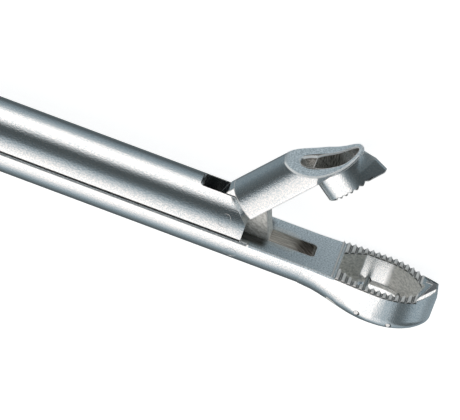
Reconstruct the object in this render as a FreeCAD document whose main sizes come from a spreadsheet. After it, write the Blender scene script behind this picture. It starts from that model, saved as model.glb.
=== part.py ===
import FreeCAD, Part
import math
import operator
import os
import Sketcher

# Biopsy punch with a sliding shaft, lying on its side on the flat face of its handle.
# X runs along the shaft to the tip, Y is the way the jaw opens and Z is up from the table.
# Each piece is drawn about the middle plane of the instrument and lifted by rest_height.
# The jaw is drawn closed about its pivot, and the lever at mid travel about its own,
# and both are then turned to the open rest position.

# Driving sizes in millimetres and degrees
SIZES = {
    # the whole instrument
    "rest_height": 4.5,
    "jaw_reach": 183.0,
    "shaft_radius": 3.5,
    "shaft_tail": 13.0,
    "parting_gap": 0.2,
    "running_gap": 0.05,
    "overrun": 1.0,
    # jaw motion
    "open_angle": 51.5,
    "pivot_drop": 1.75,
    "link_rise": 1.47,
    "jaw_pin_radius": 0.6,
    "pin_flush_gap": 0.02,
    "link_play": 0.08,
    # lower shaft and its tongue slot
    "edge_break": 0.25,
    "edge_break_end": 1.3,
    "flare_start": 7.2,
    "flare_end": 14.8,
    "bar_flat": 0.105,
    "tongue_slot_back": 3.2,
    "tongue_slot_front": 7.9,
    "tongue_slot_half": 1.25,
    "tongue_slot_corner": 0.4,
    # basket
    "basket_half_width": 3.95,
    "basket_depth": 3.8,
    "basket_corner": 1.4,
    "beak_arc_start": 15.2,
    "beak_length": 1.92,
    "beak_lean": 0.45,
    "beak_lean_drop": 0.3,
    "beak_height": 1.3,
    "beak_half_width": 2.6,
    "basket_wall": 0.8,
    "beak_wall": 1.55,
    "basket_floor": 1.05,
    "hollow_back": 10.6,
    "hollow_back_half": 1.7,
    "hollow_flare": 12.8,
    "window_back": 12.75,
    "window_ledge": 0.15,
    "window_corner": 0.8,
    # teeth of the basket rim and of the skirt
    "tooth_pitch": 0.62,
    "tooth_depth": 0.29,
    "skirt_tooth_depth": 0.24,
    "rim_rise": 0.2,
    "rim_teeth_start": 10.15,
    "rim_teeth_count": 14,
    "skirt_teeth_start": 12.3,
    "skirt_teeth_count": 6,
    # specimen pins across the basket
    "basket_pin_radius": 0.25,
    "basket_pin_drop": 2.72,
    "basket_pin_front_drop": 3.02,
    "basket_pin_rear": 13.7,
    "basket_pin_front": 17.05,
    "basket_pin_reach": 3.78,
    "basket_pin_front_reach": 3.38,
    # upper slide
    "slide_tail": 9.0,
    "slide_front": 0.55,
    "bevel_start": 1.7,
    "slide_slot_back": 5.07,
    "slide_slot_half": 1.25,
    # upper jaw
    "jaw_flat_rise": 0.43,
    "jaw_heel": 4.05,
    "heel_lean": 11.8,
    "tongue_half": 1.15,
    "tongue_boss": 1.5,
    "tongue_toe": 3.28,
    "tongue_floor": 1.4,
    "tongue_front": 5.5,
    "tongue_top_back": 2.7,
    "link_wall": 0.75,
    "scoop_radius": 7.52,
    "scoop_centre": 15.6,
    "scoop_floor": 0.48,
    "shoulder_start": 11.9,
    "shoulder_end": 14.3,
    "lip_half": 2.82,
    "lip_centre": 13.85,
    "lip_underside": 0.15,
    "lip_start": 12.9,
    "lip_level_start": 14.6,
    "rim_break": 0.12,
    "skirt_back": 10.9,
    "skirt_half": 2.45,
    "skirt_centre": 14.0,
    "skirt_root": 0.46,
    "skirt_drop": 2.3,
    "nose_point": 0.15,
    "nose_middle_lean": 0.85,
    "nose_middle_drop": 1.1,
    "nose_lean": 1.2,
    "nose_drop": 2.68,
    "nose_start": 15.95,
    "nose_round": 0.3,
    "nose_chin": 0.5,
    "cutter_back": 11.3,
    "cutter_front": 16.3,
    "cutter_half": 1.75,
    "cutter_back_half": 1.6,
    "ramp_back": 10.52,
    "ramp_level": 2.45,
    # keys that hold the slide down on the lower shaft
    "key_back": 30.0,
    "key_spacing": 118.0,
    "key_length": 8.0,
    "key_stem_half": 0.8,
    "key_head_half": 1.6,
    "key_neck_drop": 1.1,
    "key_head_thickness": 0.9,
    "key_rise": 1.9,
    "key_pin_radius": 0.5,
    "key_pin_rise": 1.15,
    # handle body
    "body_front": 15.0,
    "body_back": 17.0,
    "body_bottom": 16.5,
    "body_top": 1.5,
    "body_round": 4.0,
    "channel_gap": 0.1,
    "edge_round": 0.8,
    "dowel_radius": 1.0,
    "dowel_drop": 2.0,
    "dowel_place": 11.0,
    "dowel_reach": 4.3,
    # finger lever and its pivot
    "lever_drop": 8.2,
    "drive_rise": 1.8,
    "drive_pin_radius": 1.0,
    "drive_play": 0.05,
    "lever_half": 1.5,
    "lever_slot_half": 1.6,
    "lever_boss": 4.5,
    "fork_half": 2.5,
    "fork_tip": 1.2,
    "fork_depth": 1.5,
    "body_slot_half": 8.5,
    "shaft_slot_half": 5.2,
    "slide_slot_reach": 3.6,
    "screw_radius": 2.5,
    "screw_head_radius": 3.9,
    "screw_head_thickness": 1.5,
    "screw_recess": 0.2,
    "nut_radius": 3.4,
    "nut_thickness": 1.6,
    "driver_slot_half": 0.45,
    "driver_slot_depth": 0.7,
    # handle arms and rings
    "arm_half_width": 3.3,
    "arm_half_thickness": 3.4,
    "fixed_arm_back": 11.5,
    "fixed_arm_start": 13.0,
    "fixed_arm_drop": 44.0,
    "fixed_arm_sweep": 19.0,
    "lever_arm_start": 9.0,
    "lever_arm_drop": 38.0,
    "lever_arm_sweep": 5.0,
    "ring_inner_radius": 12.0,
    "ring_section_half": 2.4,
    "ring_half_thickness": 4.5,
    # closing stop
    "stop_drop": 20.5,
    "stop_boss_radius": 3.3,
    "stop_boss_back": 16.0,
    "stop_boss_front": 8.4,
    "stop_tip": 5.6,
    "stop_radius": 1.25,
    "stop_nut_half": 2.4,
    "stop_nut_thickness": 1.4,
    "stop_slot_depth": 0.8,
}

# Sections of the flare, and sides of the lock nut
FLARE_STEPS = 5
HEXAGON_SIDES = 6

document = FreeCAD.newDocument("biopsy_punch")
sheet = document.addObject("Spreadsheet::Sheet", "sizes")


class Size:
    """A number together with the sheet formula that gives it."""

    def __init__(self, formula, value):
        self.formula = formula
        self.value = value

    def __add__(self, other):
        return combine("+", self, other)

    def __sub__(self, other):
        return combine("-", self, other)

    def __mul__(self, other):
        return combine("*", self, other)

    def __truediv__(self, other):
        return combine("/", self, other)

    def __neg__(self):
        return combine("*", self, -1)


OPERATIONS = {
    "+": operator.add,
    "-": operator.sub,
    "*": operator.mul,
    "/": operator.truediv,
}


def as_size(number):
    """Plain numbers join formulas as they are."""
    return number if isinstance(number, Size) else Size(repr(number), number)


def combine(sign, left, right):
    left = as_size(left)
    right = as_size(right)
    value = OPERATIONS[sign](left.value, right.value)
    return Size(f"({left.formula} {sign} {right.formula})", value)


def root(number):
    return Size(f"sqrt({number.formula})", math.sqrt(number.value))


def sine(angle):
    return Size(f"sin({angle.formula})", math.sin(math.radians(angle.value)))


def cosine(angle):
    return Size(f"cos({angle.formula})", math.cos(math.radians(angle.value)))


def tangent(angle):
    return sine(angle) / cosine(angle)


def other_leg(long_side, leg):
    """The second leg of a right triangle."""
    return root(long_side * long_side - leg * leg)


def fill_sheet():
    """Writes each size beside its name and returns them all as named Size values."""
    named = {}
    for row, (alias, value) in enumerate(SIZES.items(), start=1):
        sheet.set(f"A{row}", alias)
        sheet.set(f"B{row}", str(value))
        sheet.setAlias(f"B{row}", alias)
    document.recompute()
    for alias in SIZES:
        named[alias] = Size(f"sizes.{alias}", float(sheet.get(alias)))
    return named


class Sheet:
    """Gives every sheet size as an attribute."""

    def __init__(self, named):
        self.__dict__.update(named)


s = Sheet(fill_sheet())
zero = as_size(0.0)

# Places worked out from the driving sizes
half_swing = s.open_angle / 2
link_height = s.link_rise + s.pivot_drop
slide_travel = link_height * tangent(half_swing) * 2
link_rest = -link_height * tangent(half_swing)
link_reach = link_height / cosine(half_swing)
drive_height = s.drive_rise + s.lever_drop
half_travel = slide_travel / 2
rim_teeth_end = s.rim_teeth_start + s.tooth_pitch * s.rim_teeth_count
beak_reach = rim_teeth_end + s.beak_length
beak_tip = beak_reach - s.beak_lean
skirt_nose = s.skirt_centre + s.skirt_half + s.nose_point
nose_middle = skirt_nose + s.nose_middle_lean
nose_reach = skirt_nose + s.nose_lean
half_lever_swing = Size(
    f"atan({(half_travel / drive_height).formula})",
    math.degrees(math.atan((half_travel / drive_height).value)),
)
ring_radius = s.ring_inner_radius + s.ring_section_half


# Drawing helpers


def new_body(name, turn=None, place_x=None, place_y=None):
    """A named body, lifted to the rest height and turned about its own origin."""
    body = document.addObject("PartDesign::Body", name)
    body.Label = name
    body.Placement.Rotation = FreeCAD.Rotation(FreeCAD.Vector(0, 0, 1), 0)
    body.setExpression("Placement.Base.z", s.rest_height.formula)
    if place_x is not None:
        body.setExpression("Placement.Base.x", place_x.formula)
    if place_y is not None:
        body.setExpression("Placement.Base.y", place_y.formula)
    if turn is not None:
        body.Placement.Rotation = FreeCAD.Rotation(FreeCAD.Vector(0, 0, 1), turn.value)
        body.setExpression("Placement.Rotation.Angle", turn.formula)
    return body


def origin_feature(body, role):
    for feature in body.Origin.OriginFeatures:
        if feature.Role == role:
            return feature
    raise ValueError(role)


def tie(drawing, kind, geometry, point, size):
    """Binds one coordinate of a sketch point to its formula."""
    place = Sketcher.Constraint(kind, -1, 1, geometry, point, size.value)
    index = drawing.addConstraint(place)
    drawing.setExpression(f"Constraints[{index}]", size.formula)


def tie_radius(drawing, geometry, size):
    index = drawing.addConstraint(Sketcher.Constraint("Radius", geometry, size.value))
    drawing.setExpression(f"Constraints[{index}]", size.formula)


def corner(x, y, radius=None, side=1):
    """A corner of an outline, with the arc that leads on from it, centred left or right."""
    return as_size(x), as_size(y), radius, side


def arc_between(start, end, radius, side):
    """The shorter arc, with its centre left (1) or right (-1) of the way from start to end."""
    chord = end - start
    middle = (start + end) * 0.5
    left = FreeCAD.Vector(-chord.y, chord.x, 0).normalize()
    rise = math.sqrt(max(0.0, radius ** 2 - (chord.Length / 2) ** 2))
    centre = middle + left * rise * side
    bulge = centre - left * radius * side
    return Part.Arc(start, bulge, end)


def add_outline(drawing, corners, closed=True):
    """Draws the corners as lines and arcs, each corner bound to the sheet."""
    points = [FreeCAD.Vector(x.value, y.value, 0) for x, y, radius, side in corners]
    count = len(corners) if closed else len(corners) - 1
    ends = []
    for index in range(count):
        x, y, radius, side = corners[index]
        start = points[index]
        end = points[(index + 1) % len(points)]
        if radius is None:
            geometry = drawing.addGeometry(Part.LineSegment(start, end), False)
            ends.append((geometry, 1, 2))
            continue
        geometry = drawing.addGeometry(arc_between(start, end, radius.value, side), False)
        first = drawing.getPoint(geometry, 1)
        forward = first.distanceToPoint(start) < first.distanceToPoint(end)
        ends.append((geometry, 1, 2) if forward else (geometry, 2, 1))
        tie_radius(drawing, geometry, radius)
    joints = count if closed else count - 1
    for index in range(joints):
        geometry, start, end = ends[index]
        following, next_start, next_end = ends[(index + 1) % count]
        meet = Sketcher.Constraint("Coincident", geometry, end, following, next_start)
        drawing.addConstraint(meet)
    for index in range(count):
        geometry, start, end = ends[index]
        tie(drawing, "DistanceX", geometry, start, corners[index][0])
        tie(drawing, "DistanceY", geometry, start, corners[index][1])
    if not closed:
        geometry, start, end = ends[-1]
        tie(drawing, "DistanceX", geometry, end, corners[-1][0])
        tie(drawing, "DistanceY", geometry, end, corners[-1][1])


def add_circle(drawing, x, y, radius):
    centre = FreeCAD.Vector(x.value, y.value, 0)
    circle = Part.Circle(centre, FreeCAD.Vector(0, 0, 1), radius.value)
    geometry = drawing.addGeometry(circle, False)
    tie(drawing, "DistanceX", geometry, 3, x)
    tie(drawing, "DistanceY", geometry, 3, y)
    tie_radius(drawing, geometry, radius)


def new_sketch(body, name, role, offset=None, origin=None):
    """A sketch on an origin plane, moved along its normal by offset and within it by origin."""
    drawing = body.newObject("Sketcher::SketchObject", name)
    drawing.AttachmentSupport = [(origin_feature(body, role), "")]
    drawing.MapMode = "FlatFace"
    if offset is not None:
        drawing.setExpression("AttachmentOffset.Base.z", offset.formula)
    if origin is not None:
        drawing.setExpression("AttachmentOffset.Base.x", origin[0].formula)
        drawing.setExpression("AttachmentOffset.Base.y", origin[1].formula)
    return drawing


def outline_sketch(body, name, role, corners, offset=None, origin=None):
    drawing = new_sketch(body, name, role, offset, origin)
    add_outline(drawing, corners)
    return drawing


def circle_sketch(body, name, role, circles, offset=None):
    drawing = new_sketch(body, name, role, offset)
    for x, y, radius in circles:
        add_circle(drawing, x, y, radius)
    return drawing


def pad(body, name, profile, length, both_sides=False, backward=False):
    feature = body.newObject("PartDesign::Pad", name)
    feature.Profile = profile
    feature.SideType = "Symmetric" if both_sides else "One side"
    feature.Reversed = backward
    feature.setExpression("Length", length.formula)
    document.recompute()
    return feature


def cut(body, name, profile, length, both_sides=False, backward=False):
    """A pocket that must take material away."""
    before = body.Shape.Volume
    feature = body.newObject("PartDesign::Pocket", name)
    feature.Profile = profile
    feature.SideType = "Symmetric" if both_sides else "One side"
    feature.Reversed = backward
    feature.setExpression("Length", length.formula)
    document.recompute()
    if not body.Shape.Volume < before:
        raise ValueError(f"{name} cuts nothing")
    return feature


def repeat_along_x(body, name, feature, pitch, count):
    pattern = body.newObject("PartDesign::LinearPattern", name)
    pattern.Originals = [feature]
    pattern.Direction = (origin_feature(body, "X_Axis"), [""])
    pattern.Mode = "Spacing"
    pattern.setExpression("Offset", pitch.formula)
    pattern.setExpression("Occurrences", count.formula)
    body.Tip = pattern
    document.recompute()
    return pattern


def round_edges(body, name, radius, chosen):
    """Fillets the edges of the body's last feature for which chosen(edge) is true."""
    base = body.Tip
    names = []
    for number, edge in enumerate(base.Shape.Edges, start=1):
        if chosen(edge):
            names.append(f"Edge{number}")
    fillet = body.newObject("PartDesign::Fillet", name)
    fillet.Base = (base, names)
    fillet.setExpression("Radius", radius.formula)
    document.recompute()
    return fillet


def level(edge, axis, height):
    """Whether every end of an edge lies at one height along an axis."""
    return all(abs(getattr(end.Point, axis) - height.value) < 1e-4 for end in edge.Vertexes)


def rounded_slot(x_back, x_front, half, radius):
    """A slot seen from above, from x_back to x_front, with rounded corners."""
    return [
        corner(x_back + radius, -half),
        corner(x_front - radius, -half, radius),
        corner(x_front, -half + radius),
        corner(x_front, half - radius, radius),
        corner(x_front - radius, half),
        corner(x_back + radius, half, radius),
        corner(x_back, half - radius),
        corner(x_back, -half + radius, radius),
    ]


def cross_pin(name, x, y, radius, reach):
    """A plain pin across the instrument, as long both ways from the middle plane."""
    pin = document.addObject("Part::Cylinder", name)
    pin.Label = name
    pin.setExpression("Radius", radius.formula)
    pin.setExpression("Height", (reach * 2).formula)
    pin.setExpression("Placement.Base.x", x.formula)
    pin.setExpression("Placement.Base.y", y.formula)
    pin.setExpression("Placement.Base.z", (s.rest_height - reach).formula)
    return pin


def flush_pin(name, x, y, radius):
    """A pin across the shaft with both ends ground to the round of the shaft."""
    stock = cross_pin(f"{name}_stock", x, y, radius, s.shaft_radius)
    round_stock = document.addObject("Part::Cylinder", f"{name}_round")
    round_stock.setExpression("Radius", (s.shaft_radius - s.pin_flush_gap).formula)
    round_stock.setExpression("Height", (radius * 4).formula)
    round_stock.Placement.Rotation = FreeCAD.Rotation(FreeCAD.Vector(0, 1, 0), 90)
    round_stock.setExpression("Placement.Base.x", (x - radius * 2).formula)
    round_stock.setExpression("Placement.Base.z", s.rest_height.formula)
    pin = document.addObject("Part::MultiCommon", name)
    pin.Shapes = [stock, round_stock]
    pin.Label = name
    return pin


def through(size):
    """A cut length that clears the piece on both sides."""
    return (size + s.overrun) * 2


# Places along the shaft, counted from the handle
jaw_x = s.jaw_reach
key_places = [s.key_back, s.key_back + s.key_spacing]
full_width = through(s.rest_height)


def half_round(body, name, back, front, level_y, above, axis_y=zero):
    """A length of round bar on one side of the level at level_y."""
    rise = level_y - axis_y
    half = other_leg(s.shaft_radius, rise)
    peak = axis_y + s.shaft_radius if above else axis_y - s.shaft_radius
    side = -1 if above else 1
    profile = outline_sketch(
        body,
        f"{name}_profile",
        "YZ_Plane",
        [
            corner(level_y, half),
            corner(level_y, -half, s.shaft_radius, -side),
            corner(peak, zero, s.shaft_radius, -side),
        ],
        offset=back,
    )
    return pad(body, name, profile, front - back)


# Lower shaft with the fixed basket


def basket_section(body, number, place, blend):
    """A cross section that goes from the round bar (blend 0) to the basket (blend 1)."""
    half = s.shaft_radius + (s.basket_half_width - s.shaft_radius) * blend
    depth = s.shaft_radius + (s.basket_depth - s.shaft_radius) * blend
    bar_corner = s.shaft_radius - s.bar_flat
    radius = bar_corner + (s.basket_corner - bar_corner) * blend
    return outline_sketch(
        body,
        f"flare_section_{number}",
        "YZ_Plane",
        [
            corner(s.rim_rise, half),
            corner(s.rim_rise, -half),
            corner(radius - depth, -half, radius, -1),
            corner(-depth, radius - half),
            corner(-depth, half - radius, radius, -1),
            corner(radius - depth, half),
        ],
        offset=place,
    )


def beak_arc_radius(length, half):
    """Radius of the side arcs of a pointed end that start parallel to the shaft."""
    return (length * length + half * half) / (half * 2)


def add_basket_front(body):
    """The front of the basket: upright walls to a pointed beak, rounded below."""
    length = beak_reach - s.beak_arc_start
    radius = beak_arc_radius(length, s.basket_half_width)
    plan = outline_sketch(
        body,
        "basket_plan",
        "XZ_Plane",
        [
            corner(jaw_x + s.flare_end, -s.basket_half_width),
            corner(jaw_x + s.beak_arc_start, -s.basket_half_width, radius),
            corner(jaw_x + beak_reach, zero, radius),
            corner(jaw_x + s.beak_arc_start, s.basket_half_width),
            corner(jaw_x + s.flare_end, s.basket_half_width),
        ],
        offset=-(s.beak_height + s.overrun),
    )
    height = s.beak_height + s.overrun + s.basket_depth
    pad(body, "basket_front", plan, height)
    back = (jaw_x + s.flare_end).value

    def bottom_edge(edge):
        low = level(edge, "y", -s.basket_depth)
        return low and not all(abs(end.Point.x - back) < 1e-4 for end in edge.Vertexes)

    def beak_edge(edge):
        tip = (jaw_x + beak_reach).value
        return all(abs(end.Point.x - tip) < 1e-4 for end in edge.Vertexes)

    round_edges(body, "beak_edge_round", s.basket_corner / 2, beak_edge)
    round_edges(body, "basket_bottom_round", s.basket_corner, bottom_edge)


def add_flare(body):
    """The bar swells smoothly into the basket."""
    sections = []
    for number in range(FLARE_STEPS + 1):
        part = number / FLARE_STEPS
        blend = part * part * (3 - 2 * part)
        place = jaw_x + s.flare_start + (s.flare_end - s.flare_start) * part
        sections.append(basket_section(body, number, place, blend))
    flare = body.newObject("PartDesign::AdditiveLoft", "flare")
    flare.Profile = sections[-1]
    flare.Sections = sections[-2::-1]
    flare.Ruled = False
    document.recompute()


def trim_rim(body):
    """Takes the flat behind the teeth down to the parting level and shapes the beak."""
    top = s.beak_height + s.overrun * 2
    side = outline_sketch(
        body,
        "rim_profile",
        "XY_Plane",
        [
            corner(jaw_x + s.flare_start - s.overrun, zero),
            corner(jaw_x + s.rim_teeth_start, zero),
            corner(jaw_x + s.rim_teeth_start, s.rim_rise),
            corner(jaw_x + rim_teeth_end, s.rim_rise),
            corner(jaw_x + rim_teeth_end, top),
            corner(jaw_x + s.flare_start - s.overrun, top),
        ],
    )
    cut(body, "rim_trim", side, full_width, both_sides=True)
    wide = s.basket_half_width + s.overrun
    slope = (s.beak_height - s.rim_rise) / s.beak_half_width
    gable = outline_sketch(
        body,
        "beak_gable",
        "YZ_Plane",
        [
            corner(s.beak_height - slope * wide, -wide),
            corner(s.beak_height, zero),
            corner(s.beak_height - slope * wide, wide),
            corner(top, wide),
            corner(top, -wide),
        ],
        offset=jaw_x + rim_teeth_end,
    )
    length = beak_reach - rim_teeth_end + s.overrun
    cut(body, "beak_gable_cut", gable, length, backward=True)
    lean = (beak_reach - beak_tip) / (s.beak_height + s.beak_lean_drop)
    bow = outline_sketch(
        body,
        "beak_lean_profile",
        "XY_Plane",
        [
            corner(jaw_x + beak_reach, -s.beak_lean_drop),
            corner(jaw_x + beak_reach + s.overrun, -s.beak_lean_drop),
            corner(jaw_x + beak_reach + s.overrun, top),
            corner(jaw_x + beak_tip - lean * (top - s.beak_height), top),
        ],
    )
    cut(body, "beak_lean", bow, full_width, both_sides=True)


def hollow_basket(body):
    """The specimen space, with a window through its floor that leaves a narrow ledge."""
    half = s.basket_half_width - s.basket_wall
    reach = beak_reach - s.beak_wall
    radius = beak_arc_radius(reach - s.beak_arc_start, half)
    plan = outline_sketch(
        body,
        "hollow_plan",
        "XZ_Plane",
        [
            corner(jaw_x + s.hollow_back, -s.hollow_back_half),
            corner(jaw_x + s.hollow_flare, -half),
            corner(jaw_x + s.beak_arc_start, -half, radius),
            corner(jaw_x + reach, zero, radius),
            corner(jaw_x + s.beak_arc_start, half),
            corner(jaw_x + s.hollow_flare, half),
            corner(jaw_x + s.hollow_back, s.hollow_back_half),
        ],
        offset=-(s.beak_height + s.overrun),
    )
    depth = s.beak_height + s.overrun + s.basket_depth - s.basket_floor
    cut(body, "hollow", plan, depth, backward=True)
    window_half = half - s.window_ledge
    window_reach = reach - s.window_ledge
    window_radius = beak_arc_radius(window_reach - s.beak_arc_start, window_half)
    rear = jaw_x + s.window_back
    window = outline_sketch(
        body,
        "window_plan",
        "XZ_Plane",
        [
            corner(rear + s.window_corner, -window_half),
            corner(jaw_x + s.beak_arc_start, -window_half, window_radius),
            corner(jaw_x + window_reach, zero, window_radius),
            corner(jaw_x + s.beak_arc_start, window_half),
            corner(rear + s.window_corner, window_half, s.window_corner),
            corner(rear, window_half - s.window_corner),
            corner(rear, s.window_corner - window_half, s.window_corner),
        ],
    )
    cut(body, "window", window, s.basket_depth + s.overrun, backward=True)


def cut_teeth(body, name, start, level_y, depth, count, up):
    """A row of right-angled notches across the piece, opening up or down."""
    middle = start + s.tooth_pitch / 2
    sign = 1 if up else -1
    notch = outline_sketch(
        body,
        f"{name}_notch",
        "XY_Plane",
        [
            corner(middle, level_y - depth * sign),
            corner(middle + depth + s.overrun, level_y + s.overrun * sign),
            corner(middle - depth - s.overrun, level_y + s.overrun * sign),
        ],
    )
    first = cut(body, f"{name}_first", notch, full_width, both_sides=True)
    repeat_along_x(body, name, first, s.tooth_pitch, count)


def t_slot(body, number, place):
    """The undercut groove that a key of the slide runs in."""
    back = place - s.key_length / 2 - s.running_gap
    length = s.key_length + slide_travel + s.running_gap * 2
    neck = s.key_stem_half + s.running_gap
    head = s.key_head_half + s.running_gap
    head_top = s.running_gap - s.key_neck_drop
    head_bottom = -(s.key_neck_drop + s.key_head_thickness + s.running_gap)
    groove = outline_sketch(
        body,
        f"key_groove_{number}_profile",
        "YZ_Plane",
        [
            corner(s.overrun, -neck),
            corner(head_top, -neck),
            corner(head_top, -head),
            corner(head_bottom, -head),
            corner(head_bottom, head),
            corner(head_top, head),
            corner(head_top, neck),
            corner(s.overrun, neck),
        ],
        offset=back,
    )
    cut(body, f"key_groove_{number}", groove, length, backward=True)


def make_lower_shaft():
    body = new_body("lower_shaft")
    add_basket_front(body)
    add_flare(body)
    half_round(
        body,
        "front_bar",
        jaw_x + s.edge_break_end,
        jaw_x + s.flare_start,
        zero,
        above=False,
    )
    half_round(body, "long_bar", -s.shaft_tail, jaw_x + s.edge_break_end, zero, above=False)
    wide = s.shaft_radius + s.overrun
    inner = s.shaft_radius - s.edge_break
    for side, name in ((1, "near"), (-1, "far")):
        strip = outline_sketch(
            body,
            f"edge_break_{name}_profile",
            "YZ_Plane",
            [
                corner(s.overrun, inner * side - s.overrun * side),
                corner(-(s.overrun + s.edge_break), wide * side),
                corner(s.overrun, wide * side),
            ],
            offset=-(s.shaft_tail + s.overrun),
        )
        length = s.shaft_tail + s.overrun + jaw_x + s.edge_break_end
        cut(body, f"edge_break_{name}", strip, length, backward=True)
    trim_rim(body)
    hollow_basket(body)
    slot = outline_sketch(
        body,
        "tongue_slot_plan",
        "XZ_Plane",
        rounded_slot(
            jaw_x - s.tongue_slot_back,
            jaw_x + s.tongue_slot_front,
            s.tongue_slot_half,
            s.tongue_slot_corner,
        ),
    )
    cut(body, "tongue_slot", slot, s.basket_depth + s.overrun, backward=True)
    lever_slot = outline_sketch(
        body,
        "lever_slot_plan",
        "XZ_Plane",
        rounded_slot(
            -s.shaft_slot_half, s.shaft_slot_half, s.lever_slot_half, s.tongue_slot_corner
        ),
    )
    cut(body, "lever_slot", lever_slot, s.basket_depth + s.overrun, backward=True)
    for number, place in enumerate(key_places):
        t_slot(body, number, place)
    holes = circle_sketch(
        body,
        "pin_holes_places",
        "XY_Plane",
        [
            (jaw_x, -s.pivot_drop, s.jaw_pin_radius),
            (jaw_x + s.basket_pin_rear, -s.basket_pin_drop, s.basket_pin_radius),
            (jaw_x + s.basket_pin_front, -s.basket_pin_front_drop, s.basket_pin_radius),
            (s.dowel_place, -s.dowel_drop, s.dowel_radius),
            (-s.dowel_place, -s.dowel_drop, s.dowel_radius),
        ],
    )
    cut(body, "pin_holes", holes, full_width, both_sides=True)
    cut_teeth(
        body,
        "rim_teeth",
        jaw_x + s.rim_teeth_start,
        s.rim_rise,
        s.tooth_depth,
        s.rim_teeth_count,
        up=True,
    )
    return body


# Upper slide


def make_upper_slide():
    body = new_body("upper_slide")
    half_round(
        body,
        "bar",
        -s.slide_tail,
        jaw_x + s.slide_front,
        s.parting_gap,
        above=True,
    )
    high = s.shaft_radius + s.overrun
    bevel = outline_sketch(
        body,
        "front_bevel_profile",
        "XY_Plane",
        [
            corner(jaw_x + s.slide_front, s.bevel_start),
            corner(jaw_x + s.slide_front + s.overrun, s.bevel_start),
            corner(jaw_x + s.slide_front + s.overrun, high),
            corner(
                jaw_x + s.slide_front - (high - s.bevel_start) * tangent(s.open_angle), high
            ),
        ],
    )
    cut(body, "front_bevel", bevel, full_width, both_sides=True)
    slot = outline_sketch(
        body,
        "jaw_slot_plan",
        "XZ_Plane",
        rounded_slot(
            jaw_x - s.slide_slot_back,
            jaw_x + s.slide_front + s.overrun * 2,
            s.slide_slot_half,
            s.tongue_slot_corner,
        ),
    )
    cut(body, "jaw_slot", slot, high)
    drive_slot = outline_sketch(
        body,
        "drive_slot_plan",
        "XZ_Plane",
        rounded_slot(
            -half_travel - s.slide_slot_reach,
            s.slide_slot_reach - half_travel,
            s.lever_slot_half,
            s.tongue_slot_corner,
        ),
    )
    cut(body, "drive_slot", drive_slot, high)
    for number, place in enumerate(key_places):
        seat = outline_sketch(
            body,
            f"key_seat_{number}_plan",
            "XZ_Plane",
            [
                corner(place - s.key_length / 2, -s.key_stem_half),
                corner(place + s.key_length / 2, -s.key_stem_half),
                corner(place + s.key_length / 2, s.key_stem_half),
                corner(place - s.key_length / 2, s.key_stem_half),
            ],
        )
        cut(body, f"key_seat_{number}", seat, s.key_rise)
    holes = circle_sketch(
        body,
        "pin_holes_places",
        "XY_Plane",
        [
            (jaw_x + link_rest, s.link_rise, s.jaw_pin_radius),
            (-half_travel, s.drive_rise, s.drive_pin_radius),
            (key_places[0], s.key_pin_rise, s.key_pin_radius),
            (key_places[1], s.key_pin_rise, s.key_pin_radius),
        ],
    )
    cut(body, "pin_holes", holes, full_width, both_sides=True)
    return body


def make_slide_key(name, place):
    """A T-shaped key: its stem sits in the slide and its head runs in the lower shaft."""
    body = new_body(name)
    head_bottom = -(s.key_neck_drop + s.key_head_thickness)
    profile = outline_sketch(
        body,
        "profile",
        "YZ_Plane",
        [
            corner(s.key_rise, -s.key_stem_half),
            corner(-s.key_neck_drop, -s.key_stem_half),
            corner(-s.key_neck_drop, -s.key_head_half),
            corner(head_bottom, -s.key_head_half),
            corner(head_bottom, s.key_head_half),
            corner(-s.key_neck_drop, s.key_head_half),
            corner(-s.key_neck_drop, s.key_stem_half),
            corner(s.key_rise, s.key_stem_half),
        ],
        offset=place - s.key_length / 2,
    )
    pad(body, "key", profile, s.key_length)
    hole = circle_sketch(
        body, "pin_hole_place", "XY_Plane", [(place, s.key_pin_rise, s.key_pin_radius)]
    )
    cut(body, "pin_hole", hole, full_width, both_sides=True)
    return body


# Upper jaw, drawn closed about its pivot

axis_y = s.pivot_drop
flat_y = axis_y + s.jaw_flat_rise


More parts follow.
